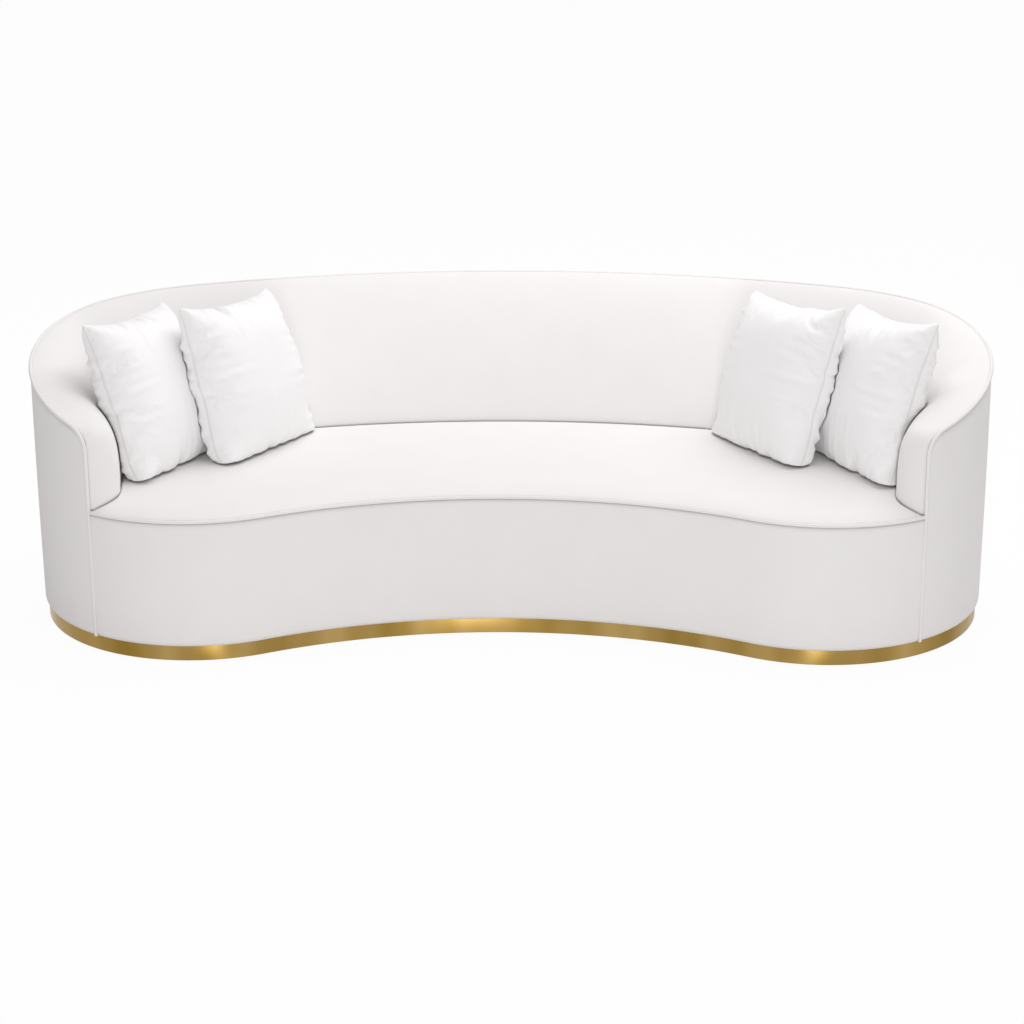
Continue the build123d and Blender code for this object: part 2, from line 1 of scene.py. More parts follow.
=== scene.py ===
import bpy
import numpy as np
from mathutils import Matrix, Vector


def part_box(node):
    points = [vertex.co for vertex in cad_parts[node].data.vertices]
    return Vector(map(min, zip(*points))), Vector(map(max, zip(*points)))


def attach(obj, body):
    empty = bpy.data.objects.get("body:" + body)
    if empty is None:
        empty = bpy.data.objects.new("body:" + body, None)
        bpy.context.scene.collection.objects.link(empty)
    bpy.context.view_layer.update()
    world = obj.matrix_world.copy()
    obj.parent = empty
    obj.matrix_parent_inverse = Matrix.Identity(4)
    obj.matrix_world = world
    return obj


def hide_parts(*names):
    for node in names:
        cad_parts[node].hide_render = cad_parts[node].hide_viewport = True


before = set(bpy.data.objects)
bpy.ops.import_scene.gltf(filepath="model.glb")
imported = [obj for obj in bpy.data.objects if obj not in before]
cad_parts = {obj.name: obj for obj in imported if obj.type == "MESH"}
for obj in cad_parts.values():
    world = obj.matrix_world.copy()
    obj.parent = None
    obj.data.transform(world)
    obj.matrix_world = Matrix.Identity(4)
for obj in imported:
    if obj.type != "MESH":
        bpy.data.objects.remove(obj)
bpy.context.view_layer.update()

# Plinth strip: a thin band of polished brass, bent on edge to the sofa's kidney plan and pinned to a
# recessed plywood plinth, so that only its lower 39 mm shows below the upholstery.
WIDTH, DEPTH = 2.65, 1.19
LOBE_RADIUS, HOLLOW_DEPTH, CORNER_RADIUS = 0.458, 0.217, 0.6
lobe_x, lobe_y = WIDTH / 2 - LOBE_RADIUS, LOBE_RADIUS - DEPTH / 2
hollow_y = HOLLOW_DEPTH - DEPTH / 2
reach = lobe_y - hollow_y
hollow_radius = (lobe_x**2 + reach**2 - LOBE_RADIUS**2) / (2 * (LOBE_RADIUS - reach))
hollow_turn = np.arctan2(lobe_x, lobe_y - hollow_y + hollow_radius)
corner_x = WIDTH / 2 - CORNER_RADIUS
rise = DEPTH / 2 - lobe_y
back_radius = (corner_x**2 + rise**2 - CORNER_RADIUS**2) / (2 * (rise - CORNER_RADIUS))
corner_turn = np.arctan2(lobe_y - DEPTH / 2 + back_radius, corner_x)
plan_arcs = (
    (0, hollow_y - hollow_radius, hollow_radius, np.pi / 2, -1, hollow_radius * hollow_turn),
    (lobe_x, lobe_y, LOBE_RADIUS, -np.pi / 2 - hollow_turn, 1, LOBE_RADIUS * (np.pi / 2 + hollow_turn)),
    (corner_x, lobe_y, CORNER_RADIUS, 0, 1, CORNER_RADIUS * corner_turn),
    (0, DEPTH / 2 - back_radius, back_radius, corner_turn, 1, back_radius * (np.pi / 2 - corner_turn)),
)
half_round = sum(arc[-1] for arc in plan_arcs)


def plan(run, inset=0.0):
    """A point of the kidney outline, at a run from the middle of the hollow, right positive: the arc that
    the run falls on, turned through run / radius about its centre, with the inset taken off towards the
    inside."""
    gone, x, y = 0.0, 0.0, 0.0
    for centre_x, centre_y, radius, start, bend, length in plan_arcs:
        turn = start + bend * (np.abs(run) - gone) / radius
        here = np.abs(run) >= gone
        x = np.where(here, centre_x + (radius - bend * inset) * np.cos(turn), x)
        y = np.where(here, centre_y + (radius - bend * inset) * np.sin(turn), y)
        gone += length
    return np.where(run < 0, -x, x), y


def wall(run, inset, height):
    """A profile of insets and heights carried along the outline: rows of points along the run, columns up
    the profile. Beside them comes each point's place on the flat strip: the run, and the length up the
    profile."""
    inset, height = np.broadcast_arrays(np.atleast_2d(inset), np.atleast_2d(height))
    x, y = plan(run[:, None], inset)
    x, y, z = np.broadcast_arrays(x, y, height)
    step = np.hypot(np.diff(inset, axis=1), np.diff(height, axis=1))
    rise = np.concatenate([np.zeros((len(step), 1)), np.cumsum(step, axis=1)], axis=1)
    flat = np.stack(np.broadcast_arrays(run[:, None], rise), axis=-1)
    return np.stack([x, y, z], axis=-1), flat


def surface(name, points, flat, ring=False, tube=False):
    """Quads over a grid of points. A ring joins the last row to the first, and a tube the last column to the
    first. The flat place of each point, in metres, becomes the piece's UV map, cut where the grid joins."""
    rows, columns = points.shape[:2]
    if ring:
        flat = np.concatenate([flat, flat[-1:] + (flat[-1:] - flat[-2:-1])])
    if tube:
        flat = np.concatenate([flat, flat[:, -1:] + (flat[:, -1:] - flat[:, -2:-1])], axis=1)
    row = np.arange(rows if ring else rows - 1)[:, None, None] + np.array([0, 1, 1, 0])
    column = np.arange(columns if tube else columns - 1)[None, :, None] + np.array([0, 0, 1, 1])
    corners = ((row % rows) * columns + column % columns).ravel()
    places = flat.reshape(-1, 2)[(row * flat.shape[1] + column).ravel()]
    mesh = bpy.data.meshes.new(name)
    mesh.vertices.add(rows * columns)
    mesh.vertices.foreach_set("co", points.astype(np.float32).ravel())
    mesh.loops.add(len(corners))
    mesh.loops.foreach_set("vertex_index", corners.astype(np.int32))
    mesh.polygons.add(len(corners) // 4)
    mesh.polygons.foreach_set("loop_start", np.arange(0, len(corners), 4, dtype=np.int32))
    mesh.update(calc_edges=True)
    mesh.uv_layers.new(name="flat").data.foreach_set("uv", places.astype(np.float32).ravel())
    mesh.polygons.foreach_set("use_smooth", np.ones(len(corners) // 4, bool))
    piece = bpy.data.objects.new(name, mesh)
    bpy.context.scene.collection.objects.link(piece)
    return piece


class Link:
    """One socket of a material's nodes. Arithmetic on it adds Math nodes, with plain numbers allowed."""

    def __init__(self, tree, socket=None):
        self.tree, self.socket = tree, socket

    def node(self, kind, settings, sockets, output=0):
        """Adds a node of a kind, gives it its settings first, then values or links to its sockets."""
        made = self.tree.nodes.new(kind)
        for name, value in settings.items():
            setattr(made, name, value)
        for name, value in sockets.items():
            if isinstance(value, Link):
                self.tree.links.new(value.socket, made.inputs[name])
            else:
                made.inputs[name].default_value = value
        return Link(self.tree, made.outputs[output] if made.outputs else None)

    def maths(self, operation, one, other=0.0):
        return self.node("ShaderNodeMath", {"operation": operation}, {0: one, 1: other})

    def __add__(self, other):
        return self.maths("ADD", self, other)

    def __mul__(self, other):
        return self.maths("MULTIPLY", self, other)

    __radd__ = __add__

    def sine(self):
        return self.maths("SINE", self)

    def blend(self, one, other):
        """A colour that goes from one to the other as this value goes from 0 to 1."""
        return self.node("ShaderNodeMix", {"data_type": "RGBA"}, {0: self, 6: one, 7: other}, 2)


def new_finish(name):
    """An empty material, and the link to its place on the object."""
    made = bpy.data.materials.new(name)
    made.use_nodes = True
    made.node_tree.nodes.clear()
    start = Link(made.node_tree)
    return made, start.node("ShaderNodeTexCoord", {}, {}, 3)


def on_flat_strip(place):
    """The link to a material's place on the flat strip, from the piece's own UV map in metres."""
    return place.node("ShaderNodeUVMap", {"uv_map": "flat"}, {})


def close_finish(place, bump, depth, **values):
    """Ends a material in one shader: a bump of that depth in metres, and the values by their socket names."""
    normal = place.node("ShaderNodeBump", {}, {"Strength": 1.0, "Distance": depth, "Height": bump})
    sockets = {name.replace("_", " "): value for name, value in values.items()}
    shader = place.node("ShaderNodeBsdfPrincipled", {}, {"Normal": normal, **sockets})
    place.node("ShaderNodeOutputMaterial", {}, {"Surface": shader})


brass, place = new_finish("polished_brass")
flat = on_flat_strip(place)
wipe = place.node("ShaderNodeMapping", {}, {"Vector": flat, "Scale": (9, 700, 1)})
drawn = place.node("ShaderNodeTexNoise", {}, {"Vector": wipe, "Scale": 1.0, "Detail": 3.0})
haze = place.node("ShaderNodeTexNoise", {}, {"Vector": place, "Scale": 7.0, "Detail": 4.0})
# Painted reflection: noise stretched along the strip blends the brass colour between a darker and a lighter
# tone, standing in for an uneven surrounding mirrored in the polish.
smear_stretch = place.node("ShaderNodeMapping", {}, {"Vector": flat, "Scale": (5, 0.8, 1)})
cloud = place.node("ShaderNodeTexNoise", {}, {"Vector": smear_stretch, "Scale": 1.0, "Detail": 2.0})
reflection_smear = place.node("ShaderNodeMapRange", {}, {0: cloud, 1: 0.36, 2: 0.64})
close_finish(
    place, drawn, 0.00002,
    Base_Color=reflection_smear.blend((0.272, 0.165, 0.030, 1), (0.44, 0.298, 0.105, 1)),
    Roughness=0.30 + drawn * 0.05 + haze * 0.04,
    Metallic=1.0,
    Anisotropic=0.85,
    Anisotropic_Rotation=0.25,
)

BAND_INSET, BAND_THICKNESS, BAND_EDGE, BAND_BEHIND_HEM = 0.010, 0.0015, 0.0013, 0.004
band_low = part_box("plinth_band_front")[0][2]
band_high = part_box("plinth_band_front")[1][2] + BAND_BEHIND_HEM
band_run = np.linspace(-half_round, half_round, 721)[:-1]
turned = BAND_EDGE * (1 - np.sin(np.linspace(0, np.pi / 2, 5)))
band_inset = BAND_INSET + np.concatenate([turned, turned[::-1], [BAND_THICKNESS, BAND_THICKNESS]])
band_height = np.concatenate([band_low + turned[::-1], band_high - turned, [band_high, band_low]])
plinth_band = surface("plinth_band", *wall(band_run, band_inset, band_height), ring=True, tube=True)
plinth_band.data.materials.append(brass)
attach(plinth_band, "sofa")
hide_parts("plinth_band_front", "plinth_band_back")

# Plinth, rails, posts and boards: bent plywood rims, sawn softwood and thin hardboard, glued and screwed.
# The covers hide all of it, apart from the battens and rims that show from underneath.
timber, place = new_finish("sawn_timber")
grain = place.node("ShaderNodeMapping", {}, {"Vector": place, "Scale": (1.5, 22, 40)})
rings = place.node(
    "ShaderNodeTexNoise", {}, {"Vector": grain, "Scale": 2.0, "Detail": 6.0, "Distortion": 0.6})
fibre = place.node("ShaderNodeTexNoise", {}, {"Vector": grain, "Scale": 14.0, "Detail": 4.0})
close_finish(
    place, fibre, 0.0003,
    Base_Color=rings.blend((0.56, 0.37, 0.20, 1), (0.38, 0.22, 0.10, 1)),
    Roughness=0.62 + fibre * 0.2,
    Specular_IOR_Level=0.3,
)
TIMBER_ENDS = ("posts", "stretchers", "battens", "rail", "board")
TIMBER_STARTS = ("arm_post", "seat_rail", "bottom_rail", "plinth_rim")


def refinish(finish, *names):
    """Gives solids of the frame a finish in the place of their plain colour."""
    for name in names:
        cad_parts[name].data.materials.clear()
        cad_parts[name].data.materials.append(finish)


refinish(timber, *(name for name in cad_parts
                   if name.endswith(TIMBER_ENDS) or name.startswith(TIMBER_STARTS)))

# Seat webbing: thirteen rubber and polyester straps, stapled taut from the front rail to the back rail.
# Their weave makes close ribs across the strap.
webbing, place = new_finish("elastic_webbing")
RIB_PITCH = 0.004
along_strap = place.node("ShaderNodeSeparateXYZ", {}, {"Vector": place}, 1)
ribs = (along_strap * (2 * np.pi / RIB_PITCH)).sine() * 0.5 + 0.5
lint = place.node("ShaderNodeTexNoise", {}, {"Vector": place, "Scale": 300.0, "Detail": 2.0})
close_finish(
    place, ribs, 0.0004,
    Base_Color=(ribs * 0.7 + lint * 0.3).blend((0.035, 0.035, 0.038, 1), (0.10, 0.095, 0.09, 1)),
    Roughness=0.75 + lint * 0.15,
)
refinish(webbing, "webbing_straps")

# Dust cover: a black non-woven cloth stapled under the seat frame, with pressed dots all over it.
dust_cloth, place = new_finish("dust_cloth")
dots = place.node("ShaderNodeTexVoronoi", {}, {"Vector": place, "Scale": 420.0})
fuzz = place.node("ShaderNodeTexNoise", {}, {"Vector": place, "Scale": 90.0, "Detail": 5.0})
close_finish(
    place, dots, 0.0002,
    Base_Color=fuzz.blend((0.018, 0.018, 0.020, 1), (0.045, 0.045, 0.048, 1)),
    Roughness=0.8 + fuzz * 0.15,
)
refinish(dust_cloth, "dust_cover")

# Glides: black nylon pads nailed under the plinth, with a moulded grain that the floor has scuffed.
nylon, place = new_finish("nylon_pad")
mould = place.node("ShaderNodeTexNoise", {}, {"Vector": place, "Scale": 500.0, "Detail": 3.0})
scuff = place.node("ShaderNodeTexNoise", {}, {"Vector": place, "Scale": 60.0, "Detail": 5.0})
close_finish(
    place, mould, 0.0001,
    Base_Color=scuff.blend((0.02, 0.02, 0.02, 1), (0.06, 0.06, 0.06, 1)),
    Roughness=0.4 + scuff * 0.25,
)
refinish(nylon, "glides")

# Outside covers: plain white fabric over thin foam, pulled tight down the walls and turned in at the hem.
# One length goes round the ends and the back up to the rim, and one lies along the front under the seat.
THREAD_PITCH, CREASE_SHADE_REACH = 0.0016, 0.009


def woven(flat):
    """Height of a plain weave from 0 to 1: the product of a sine along the strip and one across it."""
    along = flat.node("ShaderNodeSeparateXYZ", {}, {"Vector": flat}, 0) * (2 * np.pi / THREAD_PITCH)
    across = flat.node("ShaderNodeSeparateXYZ", {}, {"Vector": flat}, 1) * (2 * np.pi / THREAD_PITCH)
    return along.sine() * across.sine() * 0.5 + 0.5


white_cloth, place = new_finish("white_cloth")
weave = woven(on_flat_strip(place))
slubs = place.node("ShaderNodeTexNoise", {}, {"Vector": place, "Scale": 260.0, "Detail": 3.0})
pile = place.node("ShaderNodeTexNoise", {}, {"Vector": place, "Scale": 9.0, "Detail": 4.0})
# Painted shade: ambient occlusion within the crease reach blends the cloth colour towards a grey brown in
# creases beside the welts and wherever pieces meet or touch, where shade falls.
crease_occlusion = place.node("ShaderNodeAmbientOcclusion", {"samples": 8}, {"Distance": CREASE_SHADE_REACH}, 1)
clear = place.node("ShaderNodeMapRange", {}, {0: crease_occlusion, 1: 0.42, 2: 0.9})
mottle = weave * 0.25 + slubs * 0.35 + pile * 0.4
cloth = mottle.blend((0.80, 0.780, 0.776, 1), (0.88, 0.866, 0.862, 1))
close_finish(
    place, weave * 0.35 + slubs * 0.5, 0.00025,
    Base_Color=clear.blend((0.50, 0.475, 0.46, 1), cloth),
    Roughness=0.80 + slubs * 0.14,
    Specular_IOR_Level=0.25,
    Sheen_Weight=0.12,
    Sheen_Roughness=0.5,
)

SEAM_TURN = np.radians(33.5)
BACK_HEIGHT, RIM_LEVEL_RUN, RIM_SWEEP_RADIUS, RIM_CORNER = 0.79, 0.29, 2.25, 0.052
HEM_HEIGHT, HEM_ROUND, HEM_TUCK, HEM_LIFT = 0.043, 0.018, 0.03, 0.004
COVER_BELLY, EDGE_TURN, EDGE_LIFT, COVER_BELOW_RIM = 0.0015, 0.006, 0.001, 0.0085
seam_run = plan_arcs[0][-1] + LOBE_RADIUS * (hollow_turn + SEAM_TURN)
front_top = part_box("front_cover")[1][2]


def rim_height(run):
    """Height of the rim: level along the back, then a long arc down to the arm fronts, where it goes over a
    quarter round of the corner radius into the upright seam."""
    y = plan(run)[1]
    forward = np.maximum(DEPTH / 2 - RIM_LEVEL_RUN - y, 0)
    sweep = BACK_HEIGHT - RIM_SWEEP_RADIUS + np.sqrt(RIM_SWEEP_RADIUS**2 - forward**2)
    short = np.clip(RIM_CORNER - (np.abs(run) - seam_run), 0, RIM_CORNER)
    return sweep - RIM_CORNER + np.sqrt(RIM_CORNER**2 - short**2)


def cover_profile(top):
    """Insets and heights up an outside cover, for each row's top: a tuck under the frame, a quarter round
    hem, a wall with a slight belly (a sine over its height), and an edge that turns in under the welt."""
    bend = np.linspace(np.pi / 2, 0, 7)
    hem_inset = HEM_ROUND * (1 - np.cos(bend)) + COVER_BELLY
    hem_height = HEM_HEIGHT + HEM_ROUND * (1 - np.sin(bend))
    share = np.linspace(0, 1, 22)[1:]
    top = np.atleast_1d(top)[:, None]
    wall_height = hem_height[-1] + (top - hem_height[-1]) * share
    wall_inset = COVER_BELLY - COVER_BELLY * np.sin(np.pi * share)
    inset = np.concatenate([[HEM_TUCK], hem_inset, wall_inset, [EDGE_TURN]])
    low_height = np.concatenate([[HEM_HEIGHT + HEM_LIFT], hem_height])
    height = np.concatenate([low_height * np.ones_like(top), wall_height, top + EDGE_LIFT], axis=1)
    return np.broadcast_to(inset, height.shape), height


def white_piece(piece, *nodes):
    """Gives a piece the white cloth and puts it on the sofa in the place of its solids."""
    piece.data.materials.append(white_cloth)
    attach(piece, "sofa")
    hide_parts(*nodes)


bend = np.linspace(0, np.pi / 2, 9)
corner_runs = seam_run + RIM_CORNER * (1 - np.cos(bend))
rim_runs = np.concatenate([corner_runs, np.linspace(corner_runs[-1], half_round, 190)[1:]])
round_the_back = np.concatenate([rim_runs, -rim_runs[-2::-1]])
outside_top = rim_height(round_the_back) - COVER_BELOW_RIM
outside = surface("outside_cover_cloth", *wall(round_the_back, *cover_profile(outside_top)))
white_piece(outside, "outside_cover")

front_runs = np.linspace(-seam_run, seam_run, 201)
front_tops = np.full(len(front_runs), front_top)
front = surface("front_cover_cloth", *wall(front_runs, *cover_profile(front_tops)))
white_piece(front, "front_cover")

# Inside back: one thick sculpted foam pad under the same cloth. It stands upright at the arms, slopes at the
# back, and rolls over the top rail to the rim, so its section changes from boxy to nearly flat.
ARM_PAD, SIDE_PAD, BACK_PAD, PAD_CORNER, ARM_NOSE = 0.128, 0.25, 0.35, 0.2, 0.2
NOSE_START, NOSE_RUN, PAD_FOOT, PAD_TUCK = 0.006, 0.06, 0.424, 0.03
PAD_RIM_INSET, PAD_BELOW_RIM = 0.007, 0.0035
BOX_SHARES, BOX_POWERS = (0, 1, 1.5, 2, 2.5, 3, 4), (4, 4, 2.3, 1.65, 1.42, 1.28, 1.22)
radial = np.array([-np.sin(SEAM_TURN), np.cos(SEAM_TURN)])
ahead = np.array([-np.cos(SEAM_TURN), -np.sin(SEAM_TURN)])
seam_point = np.array([lobe_x, lobe_y]) - LOBE_RADIUS * radial
nose_chord = ARM_PAD - NOSE_START
nose_out = ARM_NOSE * nose_chord
nose_radius = (nose_chord**2 / 4 + nose_out**2) / (2 * nose_out)
nose_middle = seam_point + radial * (NOSE_START + ARM_PAD) / 2 - ahead * (nose_radius - nose_out)
nose_half = np.arcsin(nose_chord / 2 / nose_radius)
nose_ahead = np.arctan2(ahead[1], ahead[0])
nose_end = seam_point + radial * ARM_PAD
side_x = WIDTH / 2 - SIDE_PAD
step = nose_end - np.array([side_x, lobe_y])
arm_radius = -(step @ step) / (2 * step[0])
long_y = DEPTH / 2 - BACK_PAD
pad_x = side_x - PAD_CORNER
pad_rise = long_y - lobe_y
long_radius = (pad_x**2 + pad_rise**2 - PAD_CORNER**2) / (2 * (pad_rise - PAD_CORNER))
pad_turn = np.arctan2(lobe_y - long_y + long_radius, pad_x)
arm_start = np.arctan2(step[1], step[0] + arm_radius)
foot_arcs = (
    (*nose_middle, nose_radius, nose_ahead + nose_half, nose_ahead - nose_half),
    (side_x - arm_radius, lobe_y, arm_radius, arm_start, 0),
    (pad_x, lobe_y, PAD_CORNER, 0, pad_turn),
    (0, long_y - long_radius, long_radius, pad_turn, np.pi / 2),
)


def pad_foot(share):
    """A point of the right half of the line where the padding meets the seat. The share runs from 0 to 4, a
    whole number for each arc: the nose of the arm, its inner side, the corner and the long back."""
    x, y = 0.0, 0.0
    for number, (centre_x, centre_y, radius, start, end) in enumerate(foot_arcs):
        turn = start + (end - start) * (share - number)
        x = np.where(share >= number, centre_x + radius * np.cos(turn), x)
        y = np.where(share >= number, centre_y + radius * np.sin(turn), y)
    return x, y


half_share = np.concatenate([np.linspace(0, 1, 26)[:-1], np.linspace(1, 2, 34)[:-1],
                             np.linspace(2, 3, 34)[:-1], np.linspace(3, 4, 60)])
share = np.concatenate([half_share, half_share[-2::-1]])
hand = np.where(np.arange(len(share)) < len(half_share), -1.0, 1.0)
foot_x, foot_y = pad_foot(share)
foot_x = foot_x * hand
lobe_done = plan_arcs[0][-1] + plan_arcs[1][-1]
share_runs = np.interp(share, [0, 1, 2, 3, 4],
                       [seam_run, seam_run + NOSE_RUN, lobe_done, lobe_done + plan_arcs[2][-1], half_round])
rim_x, rim_y = plan(share_runs * hand, PAD_RIM_INSET)
rim_z = rim_height(share_runs) - PAD_BELOW_RIM
boxiness = np.interp(share, BOX_SHARES, BOX_POWERS)[:, None]
theta = np.linspace(np.pi / 2, 0, 44)[None, :]
out = np.sin(theta) ** (2 / boxiness)
up = np.clip(np.cos(theta), 0, 1) ** (2 / boxiness)
pad_x3 = rim_x[:, None] + (foot_x - rim_x)[:, None] * out
pad_y3 = rim_y[:, None] + (foot_y - rim_y)[:, None] * out
pad_z3 = PAD_FOOT + (rim_z - PAD_FOOT)[:, None] * up
pad_points = np.stack([pad_x3, pad_y3, pad_z3], axis=-1)
tuck = pad_points[:, :1] - np.array([0, 0, PAD_TUCK])
pad_points = np.concatenate([tuck, pad_points], axis=1)
steps = np.linalg.norm(np.diff(pad_points, axis=1), axis=-1)
pad_up = np.concatenate([np.zeros((len(share), 1)), np.cumsum(steps, axis=1)], axis=1)
foot_steps = np.hypot(np.diff(foot_x), np.diff(foot_y))
foot_run = np.concatenate([[0], np.cumsum(foot_steps)])
pad_flat = np.stack(np.broadcast_arrays(foot_run[:, None], pad_up), axis=-1)
inside = surface("inside_back_pad", pad_points, pad_flat)
white_piece(inside, "inside_back")

# Seat: one tight foam pad over the webbing, in one piece from arm to arm, with a low crown that rises from
# the front welt and dips where it is pulled down against the inside back.
SEAT_EDGE, SEAT_CROWN, CROWN_RUN, CREASE, CREASE_RUN = 0.4095, 0.0205, 0.038, 0.008, 0.012
SEAT_INSET, SEAT_FRONT_TUCK, SEAT_BACK_TUCK, FRONT_CROWDING = 0.0045, 0.012, 0.03, 1.7
FRONT_SHARES = (0, 0.075, 0.27, 0.44, 1)
front_share = np.interp(share, [0, 1, 2, 3, 4], FRONT_SHARES)
edge_runs = seam_run * (1 - front_share) * hand
edge_x, edge_y = plan(edge_runs, SEAT_INSET)
v = np.linspace(0, 1, 40)[None, :] ** FRONT_CROWDING
span = np.hypot(foot_x - edge_x, foot_y - edge_y)[:, None]
seat_x = edge_x[:, None] + (foot_x - edge_x)[:, None] * v
seat_y = edge_y[:, None] + (foot_y - edge_y)[:, None] * v
seat_z = (SEAT_EDGE + SEAT_CROWN * (1 - np.exp(-span * v / CROWN_RUN))
          - CREASE * np.exp(-span * (1 - v) / CREASE_RUN))
seat_points = np.stack([seat_x, seat_y, seat_z], axis=-1)
tuck = seat_points[:, :1] - np.array([0, 0, SEAT_FRONT_TUCK])
under = seat_points[:, -1:] - np.array([0, 0, SEAT_BACK_TUCK])
seat_points = np.concatenate([tuck, seat_points, under], axis=1)
seat_flat = np.stack([seat_points[..., 0], seat_points[..., 1]], axis=-1)
seat = surface("seat_pad", seat_points, seat_flat)
white_piece(seat, "seat")

# Welts: cord in a folded strip of the same cloth, sewn into the seams. One goes from the hem up the left arm
# seam, over the rim and down the right one. The other lies along the front edge of the seat.
WELT_RADIUS, WELT_INSET, WELT_SIDES, SEAM_STEPS = 0.0050, 0.0022, 16, 59


def welt(name, path, inward, *nodes):
    """A round cord: at each point of the path a circle, in the plane of the inward direction and of its cross
    product with the path."""
    tangent = np.gradient(path, axis=0)
    tangent /= np.linalg.norm(tangent, axis=1, keepdims=True)
    side = np.cross(inward, tangent)
    side /= np.linalg.norm(side, axis=1, keepdims=True)
    turn = np.linspace(0, 2 * np.pi, WELT_SIDES + 1)[:-1]
    ring = (inward[:, None] * np.cos(turn)[None, :, None] + side[:, None] * np.sin(turn)[None, :, None])
    points = path[:, None] + WELT_RADIUS * ring
    run = np.concatenate([[0], np.cumsum(np.linalg.norm(np.diff(path, axis=0), axis=1))])
    flat = np.stack(np.broadcast_arrays(run[:, None], (turn * WELT_RADIUS)[None, :]), axis=-1)
    white_piece(surface(name, points, flat, tube=True), *nodes)


def inward_at(run):
    """Level direction from the outline towards the inside, as the step of a point to a small inset."""
    small = 0.001
    step = np.stack(plan(run, small), axis=-1) - np.stack(plan(run), axis=-1)
    return np.concatenate([step / small, np.zeros((len(run), 1))], axis=1)


rim_line = rim_height(rim_runs) - WELT_RADIUS
seam_heights = np.linspace(HEM_HEIGHT + HEM_LIFT, rim_line[0], SEAM_STEPS + 1)[:-1]
upright = np.full(SEAM_STEPS, seam_run)
welt_runs = np.concatenate([-upright, -rim_runs, rim_runs[-2::-1], upright])
welt_heights = np.concatenate([seam_heights, rim_line, rim_line[-2::-1], seam_heights[::-1]])
welt_x, welt_y = plan(welt_runs, WELT_INSET)
welt("rim_and_arm_welt", np.stack([welt_x, welt_y, welt_heights], axis=-1), inward_at(welt_runs),
     "rim_welt", "arm_welt_left", "arm_welt_right")

seat_runs = np.linspace(-seam_run, seam_run, 241)
welt_x, welt_y = plan(seat_runs, WELT_INSET)
welt_heights = np.full(len(seat_runs), SEAT_EDGE - WELT_RADIUS)
welt("seat_front_welt", np.stack([welt_x, welt_y, welt_heights], axis=-1), inward_at(seat_runs), "seat_welt")

# Loose cushions: two squares of the same cloth, cut a little full along the sides, sewn together at a knife
# edge and filled, so that the finished sides are straight and pucker along the seam. They lean on the back,
# and each is pressed against the back, the outer one also against the inner one beside it.
CUSHION_CUT, CUSHION_FULL, CUSHION_FRONT, CUSHION_BACK = 0.474, 0.045, 0.1, 0.078
CUSHION_LINES, CAP_RISE, CLOTH_ROUGHNESS, SEAM_BAND, SEAM_GROOVE = 81, 0.045, 0.0003, 0.06, 0.002
CUSHION_SAG, CUSHION_DIP, CUSHION_SKEW = 0.018, 0.014, 0.04
cushion_cloth, place = new_finish("cushion_cloth")
flat = on_flat_strip(place)
weave = woven(flat)
slubs = place.node("ShaderNodeTexNoise", {}, {"Vector": flat, "Scale": 320.0, "Detail": 3.0})
# Painted shade: the cloth colour darkens to a grey beige along the border, for the shade in the groove where
# the two squares are sewn together.
seam_shade = place.node("ShaderNodeAttribute", {"attribute_name": "seam_shade"}, {}, 2)
line = place.node("ShaderNodeMapRange", {}, {0: seam_shade, 1: 0.62, 2: 1.0})
cloth = (weave * 0.4 + slubs * 0.6).blend((0.868, 0.858, 0.863, 1), (0.928, 0.919, 0.925, 1))
close_finish(
    place, weave * 0.35 + slubs * 0.4, 0.0002,
    Base_Color=line.blend(cloth, (0.785, 0.763, 0.75, 1)),
    Roughness=0.55 + slubs * 0.14,
    Specular_IOR_Level=0.35,
    Sheen_Weight=0.1,
    Sheen_Roughness=0.4,
)


